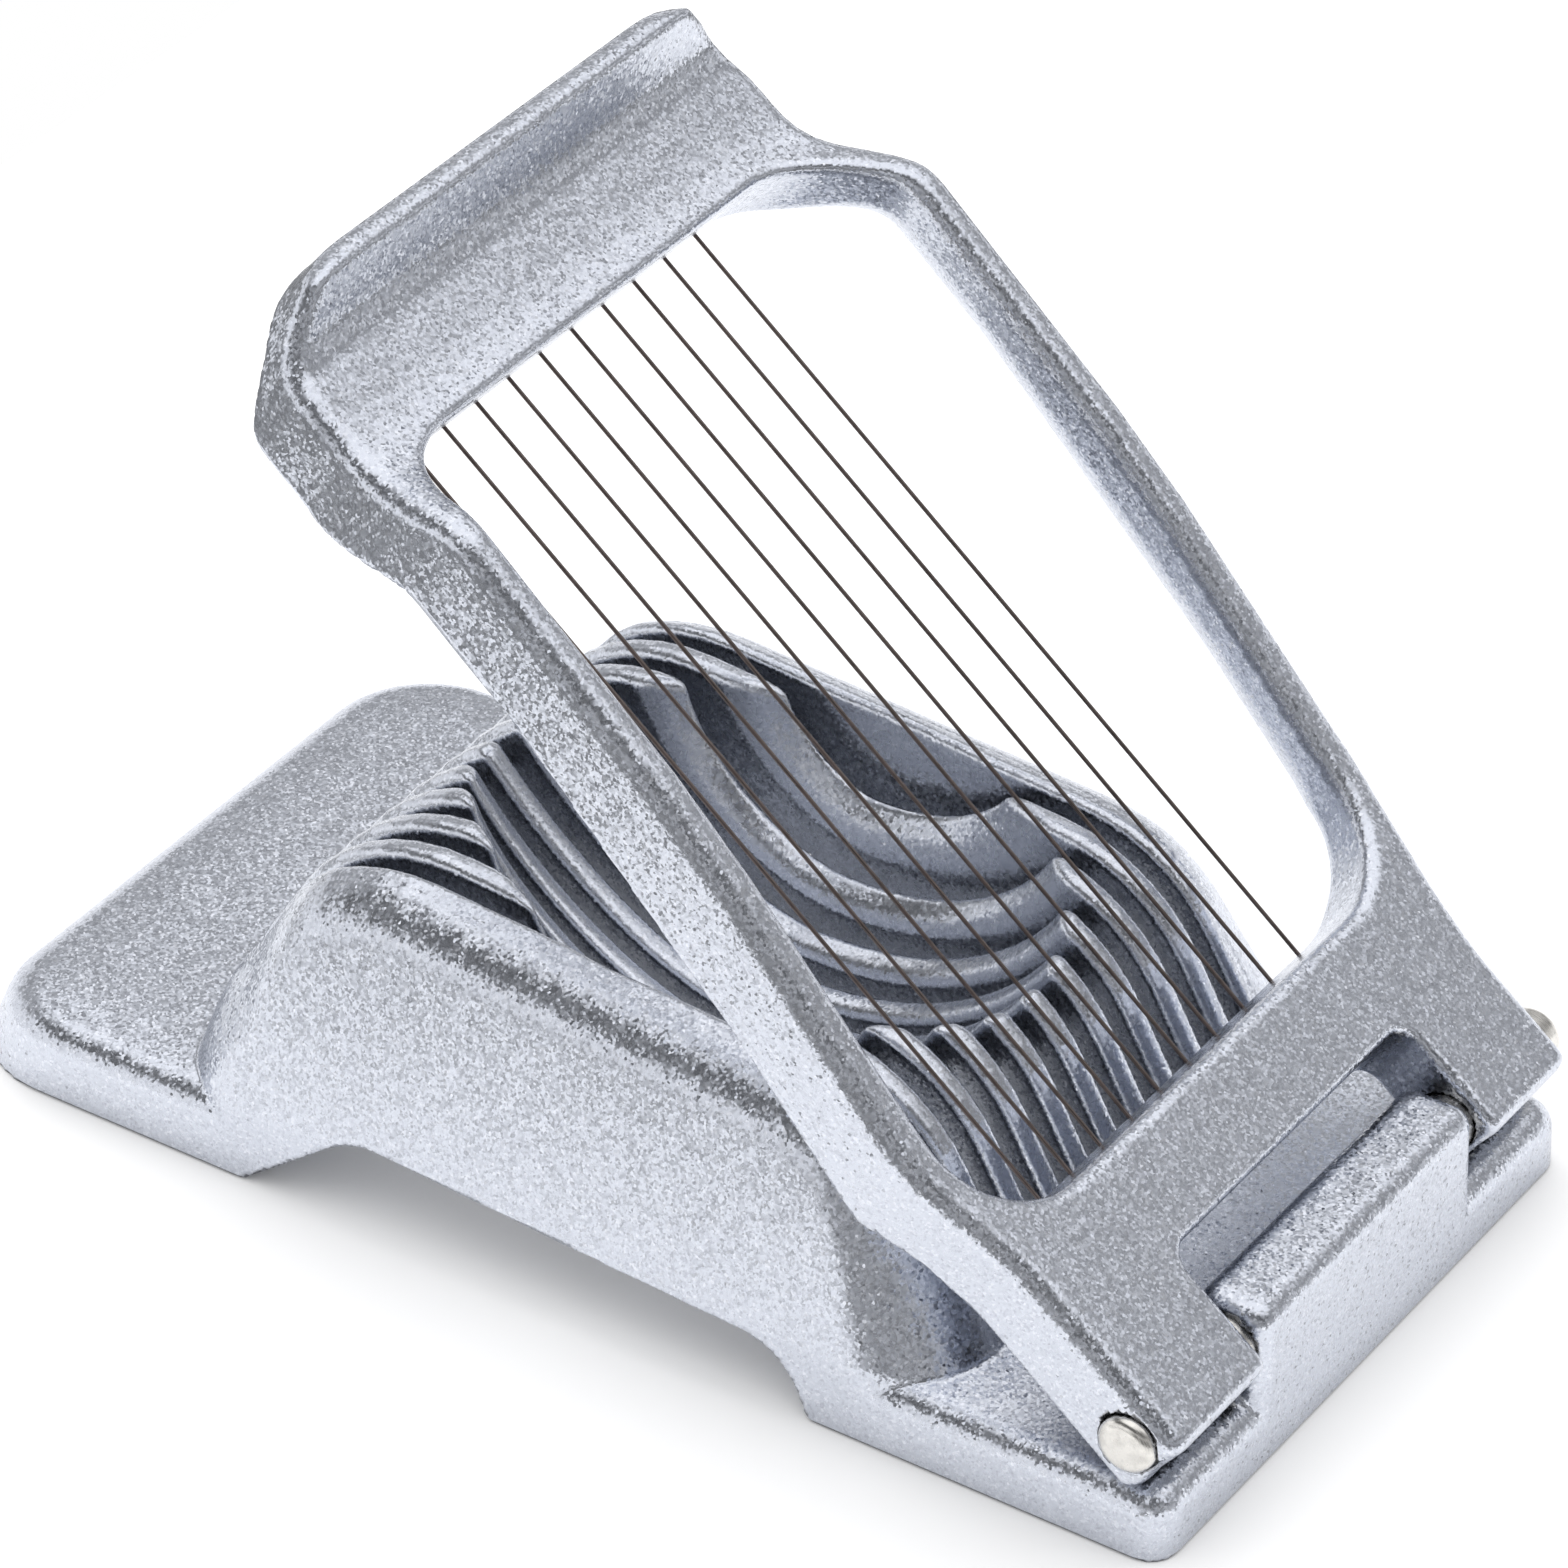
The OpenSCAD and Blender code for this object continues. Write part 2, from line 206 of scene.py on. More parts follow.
FRAME_LOW = (-6.5, 0, -8.0)
FRAME_HIGH = (129.0, RAIL_OUTER + 2, 13.5)

# Corners that close the frame's underside above it, and its plan past the middle
ABOVE_FRAME = [(150.0, 30.0, 0), (-30.0, 30.0, 0)]
PAST_MIDDLE = [(127.0, -20.0, 0), (-4.2, -20.0, 0)]
UNDER_CORNERS = 10

# The grid on which the height of the frame's top is found: first, end and step
CREST_RUN = (-4.0, 127.0, 1.0)
CREST_HEIGHTS = (2.0, 13.0, 0.05)
CREST_AT_ENDS = 4.5

# The castings aren't quite even: at the hinge their far sides stand out or in by this much
FAR_PLATE_OUT = 0.9
FAR_PLATE_Y = (26.0, 35.0)
FAR_PLATE_X = (-22.0, -8.0)
FAR_EAR_IN = 1.2
FAR_EAR_Y = (24.0, 35.0)
FAR_EAR_U = (20.0, 8.0)

# Meshing
BASE_STEP = 0.55
FRAME_STEP = 0.55
MAX_FACES = 190000
UNFOLD_ROUNDS = 6
STRAY_NORMAL = 0.6
NUDGE = 0.02
LEAST_SLOPE = 0.25
TINY = 1e-6


# ---- Distances ----

def smooth(value, start, end):
    """0 at start, 1 at end, and smooth between them."""
    t = np.clip((value - start) / (end - start), 0, 1)
    return t * t * (3 - 2 * t)


def both(a, b, radius):
    """Where both solids are, with the edge between them rounded."""
    rounded_part = np.hypot(np.maximum(a + radius, 0), np.maximum(b + radius, 0))
    return np.minimum(np.maximum(a, b), -radius) + rounded_part


def either(a, b, radius):
    """Where either solid is, with a fillet between them."""
    return -both(-a, -b, radius)


def rounded(corners, most_turn=math.radians(9)):
    """Points of an outline whose corners are given as x, y and radius."""
    points = []
    for i, (x, y, radius) in enumerate(corners):
        at = np.array((x, y), float)
        if radius == 0:
            points.append(at)
            continue
        back = np.array(corners[i - 1][:2]) - at
        on = np.array(corners[(i + 1) % len(corners)][:2]) - at
        back /= np.linalg.norm(back)
        on /= np.linalg.norm(on)
        half = math.acos(float(np.clip(back @ on, -1, 1))) / 2
        middle = (back + on) / np.linalg.norm(back + on)
        centre = at + middle * radius / math.sin(half)
        first = at + back * radius / math.tan(half) - centre
        last = at + on * radius / math.tan(half) - centre
        turn = math.pi - 2 * half
        steps = max(1, math.ceil(turn / most_turn))
        for k in range(steps + 1):
            part = k / steps
            mix = math.sin(turn * (1 - part)) * first + math.sin(turn * part) * last
            points.append(centre + mix / math.sin(turn))
    return np.array(points)


def outline_distance(px, py, points):
    """Signed distance to a closed outline, negative inside."""
    px, py = np.broadcast_arrays(px, py)
    nearest = np.full(px.shape, np.inf)
    inside = np.zeros(px.shape, bool)
    for (ax, ay), (bx, by) in zip(points, np.roll(points, -1, axis=0)):
        ex, ey = bx - ax, by - ay
        wx, wy = px - ax, py - ay
        t = np.clip((wx * ex + wy * ey) / (ex * ex + ey * ey), 0, 1)
        nearest = np.minimum(nearest, (wx - t * ex) ** 2 + (wy - t * ey) ** 2)
        if ey != 0:
            crossed = (ay > py) != (by > py)
            inside ^= crossed & (wx < ex * wy / ey)
    return np.where(inside, -1, 1) * np.sqrt(nearest)


BED_POINTS = rounded(BED_OUTLINE)
ARCH_POINTS = rounded(ARCH_OUTLINE)
BLOCK_POINTS = rounded(BLOCK_OUTLINE)
FRAME_POINTS = rounded(FRAME_OUTLINE)
UNDER_POINTS = rounded(FRAME_OUTLINE[:UNDER_CORNERS] + ABOVE_FRAME)
PLAN_POINTS = rounded(FRAME_PLAN + PAST_MIDDLE)


# ---- Base casting ----

def skirt_side(y, z):
    return (y - HALF_WIDTH + SKIRT_LEAN * z) / math.hypot(1, SKIRT_LEAN)


def wall_side(y, z):
    """The leaning side wall of the bed, which ends in the skirt."""
    wall = (y - WALL_HALF + WALL_LEAN * (z - WALL_FOOT)) / math.hypot(1, WALL_LEAN)
    return np.maximum(wall, skirt_side(y, z))


def plate_top(x):
    return TONGUE_TOP + (REAR_TOP - TONGUE_TOP) * smooth(x, *TOP_STEP)


def plate_ends(x, z):
    front = (BASE_FRONT + FRONT_LEAN * z - x) / math.hypot(1, FRONT_LEAN)
    return np.maximum(front, x - BASE_REAR)


def plates(x, y, z):
    """The tongue and the rear plate, whose tops fall away slightly towards their edges."""
    ends = plate_ends(x, z)
    side = skirt_side(y, z)
    corner = np.where(x < TOP_STEP[0], TONGUE_CORNER, REAR_CORNER)
    plan = both(ends, side, corner)
    crown = PLATE_CROWN * np.clip(1 + plan / CROWN_REACH, 0, 1) ** 2
    return both(plan, z - plate_top(x) + crown, PLATE_EDGE)


def bed(x, z, side):
    """The raised bed before its ribs and hollow are cut, with rounder corners at its ends."""
    at_front = smooth(x, *BED_FRONT_SHOULDER)
    at_rear = smooth(x, *BED_REAR_SHOULDER)
    upper = smooth(z, *BED_SHOULDER_HEIGHTS)
    front = BED_FOOT_CORNER + (BED_SHOULDER_CORNER - BED_FOOT_CORNER) * upper
    corner = BED_CREST_CORNER + (front - BED_CREST_CORNER) * at_front
    corner = corner + (BED_FOOT_CORNER - BED_CREST_CORNER) * at_rear
    return both(outline_distance(x, z, BED_POINTS), side, corner)


def egg(x, y, z):
    """An egg lying along x, with its blunt end to the rear."""
    across = np.hypot(y, z - EGG_Z)
    along = np.abs(x - EGG_X) / EGG_HALF
    power = np.where(x < EGG_X, EGG_FRONT[0], EGG_REAR[0])
    root = np.where(x < EGG_X, EGG_FRONT[1], EGG_REAR[1])
    t = np.clip(along, TINY, EGG_TIP)
    rest = 1 - t ** power
    radius = EGG_RADIUS * rest ** (1 / root)
    slope = EGG_RADIUS / EGG_HALF * rest ** (1 / root - 1) * power / root * t ** (power - 1)
    past_tip = np.maximum(along - EGG_TIP, 0) * EGG_HALF
    return (across - radius + past_tip * slope) / np.hypot(1, slope)


def slots(y, z, top):
    """Positive where the slots are open."""
    from_slot = np.abs((y % WIRE_PITCH) - WIRE_PITCH / 2)
    opening = SLOT_HALF - from_slot
    opening = np.minimum(opening, SLOTS_HALF - y)
    return np.minimum(opening, z - top + SLOT_DEPTH)


def cavity(x, z, side, hollow):
    """The room under the bed, below the ribs' depth and the hollow."""
    inner = both(outline_distance(x, z, BED_POINTS) + RIB, side + WALL, CAVITY_CORNER)
    return np.maximum(inner, RIB - hollow)


def plate_hollows(x, z, side, top):
    """The rooms under the tongue and the rear plate."""
    in_bed = np.minimum(x - BED_MIDDLE[0], BED_MIDDLE[1] - x)
    plan = both(plate_ends(x, z) + WALL, side + WALL, HOLLOW_CORNER)
    hollow = both(plan, z - top + SKIN, HOLLOW_EDGE)
    return np.maximum(hollow, in_bed)


def block(x, y, z):
    flank = (y - BLOCK_HALF + BLOCK_LEAN * z) / math.hypot(1, BLOCK_LEAN)
    return both(outline_distance(x, z, BLOCK_POINTS), flank, BLOCK_EDGE)


def base_field(x, y, z):
    """Distance to the base casting's surface."""
    y = np.abs(y)
    side = wall_side(y, z)
    top = plate_top(x)
    hollow = egg(x, y, z)
    form = both(bed(x, z, side), -hollow, EGG_EDGE)
    form = both(form, slots(y, z, top), SLOT_EDGE)
    fillet = BED_FILLET * smooth(-side, 0, BED_FILLET_RISE) + TINY
    form = either(form, plates(x, y, z), fillet)
    form = np.maximum(form, -cavity(x, z, side, hollow))
    form = both(form, -outline_distance(x, z, ARCH_POINTS), ARCH_EDGE)
    form = np.maximum(form, -plate_hollows(x, z, side, top))
    fillet = BLOCK_FILLET * smooth(BASE_REAR - x, 0, BLOCK_FILLET_RISE) + TINY
    form = either(form, block(x, y, z), fillet)
    form = np.maximum(form, PIN_RADIUS - np.hypot(x, z - HINGE_Z))
    return both(form, -z, FOOT_EDGE)


def rib_share(x, y, z):
    """1 on the ribs and inside the slots, 0 on the open faces of the base."""
    y = np.abs(y)
    in_slots = smooth(SLOTS_HALF - y, *RIB_END_FADE)
    above = smooth(z - plate_top(x), *RIB_FOOT_FADE)
    in_bed = smooth(-outline_distance(x, z, BED_POINTS), *RIB_SKIN_FADE)
    return in_slots * above * in_bed


# ---- Wire frame ----

def frame_window(u, y, w, top_drop):
    """The frame's opening, which widens below its top by the drop."""
    start, end, half = WINDOW
    sides = y - half - WINDOW_SLOPE * top_drop
    ends = np.maximum(start - u, u - end - HANDLE_DRAFT * w)
    corner = np.where(u < (start + end) / 2, WINDOW_CORNERS[0], WINDOW_CORNERS[1])
    return both(ends, sides, corner)


def frame_field(u, y, w):
    """Distance to the wire frame's surface, closed, with the handle along u."""
    y = np.abs(y)
    on_rail = smooth(u, *RAIL_START) * (1 - smooth(u, *RAIL_END))
    profile = outline_distance(u, w, FRAME_POINTS)
    lift = UNDER_SLOPE * on_rail * np.clip(RAIL_OUTER - y, 0, UNDER_RUN)
    under = outline_distance(u, w - lift, UNDER_POINTS) / np.hypot(1, UNDER_SLOPE * on_rail)
    profile = np.maximum(profile, under)
    outer = outline_distance(u, y + FRAME_LEAN * (w - FRAME_LEVEL), PLAN_POINTS)
    crest = np.interp(u, CREST_U, CREST_W)
    upper = smooth(w - crest, *EDGE_DEPTHS)
    edge = FRAME_UNDER_EDGE + (FRAME_EDGE - FRAME_UNDER_EDGE) * upper
    form = both(profile, outer, edge)
    drop = np.maximum(crest - PARTING_DROP - w, 0) * on_rail
    form = both(form, -frame_window(u, y, w, drop), WINDOW_EDGE)
    notch_in = u - NOTCH_END - NOTCH_LEAN * (w - FRAME_LEVEL)
    notch = both(y - NOTCH_HALF, notch_in, NOTCH_CORNER)
    form = both(form, -notch, NOTCH_EDGE)
    return np.maximum(form, PIN_BORE - np.hypot(u, w))


def crest_table():
    """Height of the frame's top along u."""
    us = np.arange(*CREST_RUN)
    ws = np.arange(*CREST_HEIGHTS)
    tops = []
    for row in outline_distance(us[:, None], ws[None, :], FRAME_POINTS):
        inside = np.flatnonzero(row < 0)
        tops.append(ws[inside[-1]] if len(inside) else CREST_AT_ENDS)
    return us, np.array(tops)


CREST_U, CREST_W = crest_table()


# ---- Meshes ----

def axis_points(low, high, step):
    return np.arange(low, high + step, step)


def sample(field, low, high, step):
    """The field on a grid that is symmetric in y, and the grid's lowest corner."""
    xs = axis_points(low[0], high[0], step)
    half = (np.arange(math.ceil(high[1] / step) + 1) + 0.5) * step
    zs = axis_points(low[2], high[2], step)
    values = field(xs[:, None, None], half[None, :, None], zs[None, None, :])
    values = np.concatenate([values[:, ::-1], values], axis=1)
    return values, np.array((xs[0], -half[-1], zs[0]))


def crossing_points(values, cells):
    """The mean of the surface's crossings on the edges of each cell, in grid units."""
    total = np.zeros((len(cells), 3))
    hits = np.zeros(len(cells))
    for axis in range(3):
        others = [a for a in range(3) if a != axis]
        for i in (0, 1):
            for j in (0, 1):
                start = np.zeros(3, int)
                start[others[0]] = i
                start[others[1]] = j
                end = start.copy()
                end[axis] = 1
                v0 = values[tuple((cells + start).T)]
                v1 = values[tuple((cells + end).T)]
                crossed = (v0 < 0) != (v1 < 0)
                t = np.where(crossed, v0 / np.where(v0 == v1, 1, v0 - v1), 0)
                point = cells + start
                point = point.astype(float)
                point[:, axis] += t
                total += point * crossed[:, None]
                hits += crossed
    return total / hits[:, None]


def surface_net(values):
    """Vertices in grid units and quads of the surface where the values change sign."""
    inside = values < 0
    count = np.zeros([n - 1 for n in values.shape], np.int8)
    for i in (0, 1):
        for j in (0, 1):
            for k in (0, 1):
                count += inside[
                    i : i + count.shape[0], j : j + count.shape[1], k : k + count.shape[2]
                ]
    active = (count > 0) & (count < 8)
    cells = np.argwhere(active)
    index = np.full(count.shape, -1)
    index[active] = np.arange(len(cells))
    quads = []
    for axis in range(3):
        a, b = (axis + 1) % 3, (axis + 2) % 3
        found = np.argwhere(np.diff(inside, axis=axis))
        step_a, step_b = np.eye(3, dtype=int)[a], np.eye(3, dtype=int)[b]
        loop = [found, found - step_a, found - step_a - step_b, found - step_b]
        quad = np.stack([index[tuple(c.T)] for c in loop], axis=1)
        outward = inside[tuple(found.T)]
        quads.append(np.where(outward[:, None], quad, quad[:, ::-1]))
    return crossing_points(values, cells), np.concatenate(quads)


def settle(points, field, reach, steps=2):
    """Moves points onto the surface, and gives the surface's directions there."""
    for _ in range(steps):
        value = field(*points.T)
        slope = np.stack(
            [(field(*(points + NUDGE * e).T) - value) / NUDGE for e in np.eye(3)], axis=1
        )
        size = np.maximum((slope ** 2).sum(axis=1), LEAST_SLOPE)
        move = slope * (value / size)[:, None]
        length = np.linalg.norm(move, axis=1, keepdims=True)
        points = points - move * np.minimum(1, reach / np.maximum(length, TINY))
    return points, slope / np.linalg.norm(slope, axis=1, keepdims=True)


def thinned(points, quads, most):
    """The mesh with its faces cut down to a number, by collapsing edges."""
    mesh = bpy.data.meshes.new("thinning")
    mesh.from_pydata(points, [], quads)
    obj = bpy.data.objects.new("thinning", mesh)
    bpy.context.scene.collection.objects.link(obj)
    modifier = obj.modifiers.new("thin", "DECIMATE")
    modifier.ratio = min(1.0, most / (2 * len(quads)))
    graph = bpy.context.evaluated_depsgraph_get()
    done = obj.evaluated_get(graph).to_mesh()
    count = len(done.vertices)
    out = np.empty(count * 3)
    done.vertices.foreach_get("co", out)
    faces = [tuple(f.vertices) for f in done.polygons]
    bpy.data.objects.remove(obj)
    bpy.data.meshes.remove(mesh)
    return out.reshape(-1, 3), faces


def unfolded(points, faces, normals):
    """The points, with those of a face that is turned over moved between their neighbours."""
    halves = [face[:3] for face in faces]
    halves += [(face[0], face[2], face[3]) for face in faces if len(face) == 4]
    corners = np.array(halves)
    sides = np.concatenate([corners[:, [0, 1]], corners[:, [1, 2]], corners[:, [2, 0]]])
    sides = np.concatenate([sides, sides[:, ::-1]])
    facing = normals[corners].sum(axis=1)
    for _ in range(UNFOLD_ROUNDS):
        a, b, c = (points[corners[:, i]] for i in range(3))
        turned = (np.cross(b - a, c - a) * facing).sum(axis=1) <= 0
        if not turned.any():
            break
        total = np.zeros_like(points)
        np.add.at(total, sides[:, 0], points[sides[:, 1]])
        count = np.bincount(sides[:, 0], minlength=len(points))
        chosen = np.unique(corners[turned])
        points = points.copy()
        points[chosen] = total[chosen] / count[chosen, None]
    return points


def cast_piece(name, field, low, high, step, place, shares=None):
    """A piece whose surface is where the field is zero, put in place by a function."""
    values, corner = sample(field, low, high, step)
    points, quads = surface_net(values)
    points, _ = settle(corner + points * step, field, step)
    faces = quads.tolist()
    if 2 * len(quads) > MAX_FACES:
        points, faces = thinned(points, faces, MAX_FACES)
    points, normals = settle(points, field, step / 2, steps=1)
    points = unfolded(points, faces, normals)
    placed = place(points) * MM
    tips = place(points + normals) * MM
    directions = (tips - placed) / MM
    corners = place(np.concatenate([np.zeros((1, 3)), np.eye(3)]))
    if np.linalg.det(corners[1:] - corners[0]) < 0:
        faces = [face[::-1] for face in faces]
    mesh = bpy.data.meshes.new(name)
    mesh.from_pydata(placed, [], faces)
    plain = np.empty(placed.size)
    mesh.vertex_normals.foreach_get("vector", plain)
    plain = plain.reshape(-1, 3)
    stray = (plain * directions).sum(axis=1) < STRAY_NORMAL
    directions[stray] = plain[stray]
    mesh.shade_smooth()
    mesh.normals_split_custom_set_from_vertices(directions.tolist())
    if shares is not None:
        rib = mesh.attributes.new("rib", "FLOAT", "POINT")
        rib.data.foreach_set("value", shares(*points.T).astype(np.float32))
    obj = bpy.data.objects.new(name, mesh)
    bpy.context.scene.collection.objects.link(obj)
    return obj


def at_hinge(points):
    """From the hinge axis at x = 0 to the frame that the CAD model is in."""
    x, y, z = points.T
    out = FAR_PLATE_OUT * smooth(y, *FAR_PLATE_Y) * smooth(x, *FAR_PLATE_X)
    return np.stack([x + HINGE_X, y + out, z], axis=1)


def on_frame(points):
    """From the closed frame's u, y and w to the open frame's x, y and z."""
    u, y, w = points.T
    sine, cosine = math.sin(OPEN_ANGLE), math.cos(OPEN_ANGLE)
    x = HINGE_X - u * cosine + w * sine
    z = HINGE_Z + u * sine + w * cosine
    inward = FAR_EAR_IN * smooth(y, *FAR_EAR_Y) * smooth(u, *FAR_EAR_U)
    return np.stack([x, y - inward, z], axis=1)


# ---- Materials ----

class Nodes:
    """A material's nodes, made and linked in short calls."""

    def __init__(self, material):
        material.use_nodes = True
        self.tree = material.node_tree
        self.tree.nodes.clear()

    def add(self, kind, settings=(), **inputs):
        node = self.tree.nodes.new(kind)
        for key, value in dict(settings).items():
            setattr(node, key, value)
        for key, value in inputs.items():
            self.put(node.inputs[key.replace("_", " ")], value)
        return node

    def put(self, socket, value):
        if isinstance(value, bpy.types.NodeSocket):
            self.tree.links.new(value, socket)
        else:
            socket.default_value = value

    def maths(self, operation, *values):
        node = self.tree.nodes.new("ShaderNodeMath")
        node.operation = operation
        for socket, value in zip(node.inputs, values):
            self.put(socket, value)
        return node.outputs[0]

    def vector(self, operation, *values):
        node = self.tree.nodes.new("ShaderNodeVectorMath")
        node.operation = operation
        for socket, value in zip(node.inputs, values):
            self.put(socket, value)
        return node.outputs[0]

    def scaled(self, vector, factor):
        node = self.tree.nodes.new("ShaderNodeVectorMath")
        node.operation = "SCALE"
        self.put(node.inputs[0], vector)
        self.put(node.inputs["Scale"], factor)
        return node.outputs[0]

    def map(self, value, low, high, to_low, to_high):
        node = self.tree.nodes.new("ShaderNodeMapRange")
        for socket, item in zip(node.inputs, (value, low, high, to_low, to_high)):
            self.put(socket, item)
        return node.outputs[0]

    def mix(self, factor, a, b):
        node = self.tree.nodes.new("ShaderNodeMix")
        node.data_type = "RGBA"
        self.put(node.inputs[0], factor)
        self.put(node.inputs[6], a)
        self.put(node.inputs[7], b)
        return node.outputs[2]


CAST_COLOUR = (0.655, 0.685, 0.755, 1)
CAST_PALE = (0.86, 0.88, 0.94, 1)
CAST_DARK = (0.38, 0.39, 0.46, 1)
# Painted shade: the colour that recesses are darkened towards, and how far ambient occlusion looks
# for them
CAST_PAINTED_SHADE = (0.10, 0.105, 0.12, 1)
PAINTED_SHADE_REACH = 0.009
GRAIN = 0.26 * MM
FLAKE = 0.50 * MM
GRAIN_TILT = 0.22
GLINT_TILT = 0.44
FLAKE_TILT = 0.03
SWELL_TILT = 0.015
SWELL_SCALE = 260.0
CAST_ROUGHNESS = 0.25
ROUGHNESS_SPREAD = 0.05
RIB_CALM = 0.35
MIDDLE = (0.5, 0.5, 0.5)

# Which grains glint, are pale or are dark, by their noise, and how far the colour is darkened with
# painted shade in hollows, by their ambient occlusion
GLINT_RANGE = (0.80, 1.0)
PALE_RANGE = (0.80, 0.97)
DARK_RANGE = (0.22, 0.03)
PAINTED_SHADE_RANGE = (0.62, 0.15)
MOST_PALE = 0.50
MOST_DARK = 0.30
MOST_PAINTED_SHADE = 0.85


def cell_noise(nodes, place, size):
    """Cells of a size, each with a colour of its own."""
    return nodes.add("ShaderNodeTexVoronoi", Vector=place, Scale=1 / size).outputs["Color"]


def channel(nodes, colour, index):
    return nodes.add("ShaderNodeSeparateColor", Color=colour).outputs[index]


def grain_normal(nodes, place, fine, coarse):
    """The surface's direction, tilted grain by grain, flake by flake and in slow swells."""
    normal = nodes.add("ShaderNodeNewGeometry").outputs["Normal"]
    rib = nodes.add("ShaderNodeAttribute", {"attribute_name": "rib"}).outputs["Fac"]
    rough = nodes.maths("SUBTRACT", 1, nodes.maths("MULTIPLY", rib, RIB_CALM))
    swells = nodes.add("ShaderNodeTexNoise", Vector=place, Scale=SWELL_SCALE, Detail=2.0)
    reach = nodes.map(channel(nodes, fine, 1), *GLINT_RANGE, GRAIN_TILT, GLINT_TILT)
    tilt = nodes.scaled(nodes.vector("SUBTRACT", fine, MIDDLE), reach)
    flakes = nodes.scaled(nodes.vector("SUBTRACT", coarse, MIDDLE), FLAKE_TILT)
    swell = nodes.vector("SUBTRACT", swells.outputs["Color"], MIDDLE)
    tilt = nodes.vector("ADD", tilt, flakes)
    tilt = nodes.vector("ADD", tilt, nodes.scaled(swell, SWELL_TILT))
    return nodes.vector("NORMALIZE", nodes.vector("ADD", normal, nodes.scaled(tilt, rough)))


def grain_colour(nodes, fine):
    """Each grain's colour, darkened with painted shade in the recesses, where ambient occlusion
    finds them.
    """
    level = channel(nodes, fine, 0)
    colour = nodes.mix(nodes.map(level, *PALE_RANGE, 0, MOST_PALE), CAST_COLOUR, CAST_PALE)
    colour = nodes.mix(nodes.map(level, *DARK_RANGE, 0, MOST_DARK), colour, CAST_DARK)
    # Painted shade: ambient occlusion darkens the colour in the slots, the notch and other recesses
    shade = nodes.add("ShaderNodeAmbientOcclusion", {"samples": 4}, Distance=PAINTED_SHADE_REACH)
    painted_shade = nodes.map(shade.outputs["AO"], *PAINTED_SHADE_RANGE, 0, MOST_PAINTED_SHADE)
    return nodes.mix(painted_shade, colour, CAST_PAINTED_SHADE)


def cast_material():
    """Sparkling cast aluminium: each grain faces its own way and has its own brightness, and the
    recesses get painted shade.
    """
    material = bpy.data.materials.new("cast_aluminium")
    nodes = Nodes(material)
    place = nodes.add("ShaderNodeTexCoord").outputs["Object"]
    fine = cell_noise(nodes, place, GRAIN)
    coarse = cell_noise(nodes, place, FLAKE)
    least = CAST_ROUGHNESS - ROUGHNESS_SPREAD
    most = CAST_ROUGHNESS + ROUGHNESS_SPREAD
    shader = nodes.add(
        "ShaderNodeBsdfPrincipled",
        Base_Color=grain_colour(nodes, fine),
        Metallic=1.0,
        Roughness=nodes.map(channel(nodes, coarse, 1), 0, 1, least, most),
        Normal=grain_normal(nodes, place, fine, coarse),
    )
    nodes.add("ShaderNodeOutputMaterial", Surface=shader.outputs[0])
    return material


# Steel and brass: colours, and how close their fine lines lie along x, y and z
PIN_COLOUR = (0.80, 0.78, 0.74, 1)
WIRE_COLOUR = (0.16, 0.13, 0.12, 1)
BRASS_COLOUR = (0.72, 0.52, 0.28, 1)
PIN_LINES = (900.0, 9000.0, 900.0)
WIRE_LINES = (300.0, 6000.0, 300.0)
BRASS_LINES = (300.0, 3000.0, 300.0)
PIN_ROUGHNESS = 0.22
WIRE_ROUGHNESS = 0.30
STAIN_SCALE = 700.0
STAIN_SHARE = 0.62
STAIN_RANGE = (0.45, 0.7)
MOST_STAIN = 0.6
LINE_RANGE = (0.3, 0.7)
LINE_SMOOTHER = 0.08
LINE_ROUGHER = 0.12
LINE_BUMP = 0.25
LINE_DEPTH = 0.05 * MM


def steel_material(name, colour, roughness, scratch):
    """Turned or drawn metal with fine lines round or along it."""
    material = bpy.data.materials.new(name)
    nodes = Nodes(material)
    place = nodes.add("ShaderNodeTexCoord").outputs["Object"]
    stretched = nodes.vector("MULTIPLY", place, scratch)
    lines = nodes.add("ShaderNodeTexNoise", Vector=stretched, Scale=1.0, Detail=4.0)
    lines = lines.outputs["Fac"]
    stains = nodes.add("ShaderNodeTexNoise", Vector=place, Scale=STAIN_SCALE, Detail=3.0)
    stains = stains.outputs["Fac"]
    dull = tuple(c * STAIN_SHARE for c in colour[:3]) + (1,)
    tint = nodes.mix(nodes.map(stains, *STAIN_RANGE, 0, MOST_STAIN), colour, dull)
    least = roughness - LINE_SMOOTHER
    rough = nodes.map(lines, *LINE_RANGE, least, roughness + LINE_ROUGHER)
    bump = nodes.add("ShaderNodeBump", Strength=LINE_BUMP, Distance=LINE_DEPTH, Height=lines)
    shader = nodes.add(
        "ShaderNodeBsdfPrincipled",
        Base_Color=tint,
        Metallic=1.0,
        Roughness=rough,
        Normal=bump.outputs[0],
    )
    nodes.add("ShaderNodeOutputMaterial", Surface=shader.outputs[0])
    return material


def dress(obj, material):
    obj.data.materials.clear()
    obj.data.materials.append(material)


# ---- Pieces ----

def make_base():
    box = (BASE_LOW, BASE_HIGH)
    piece = cast_piece("base_casting", base_field, *box, BASE_STEP, at_hinge, rib_share)
    dress(piece, cast_material())
    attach(piece, "base")
    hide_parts("base")
    return piece


def make_frame(material):
    box = (FRAME_LOW, FRAME_HIGH)
    piece = cast_piece("frame_casting", frame_field, *box, FRAME_STEP, on_frame)
    dress(piece, material)
    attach(piece, "frame")
    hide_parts("wire_frame")


def ring_faces(bands, turns):
    """Faces between rings of points that follow each other, each with the same number."""
    faces = []
    for band in range(bands):
        for k in range(turns):
            a = band * turns + k
            b = band * turns + (k + 1) % turns
            faces.append((a, b, b + turns, a + turns))
    return faces


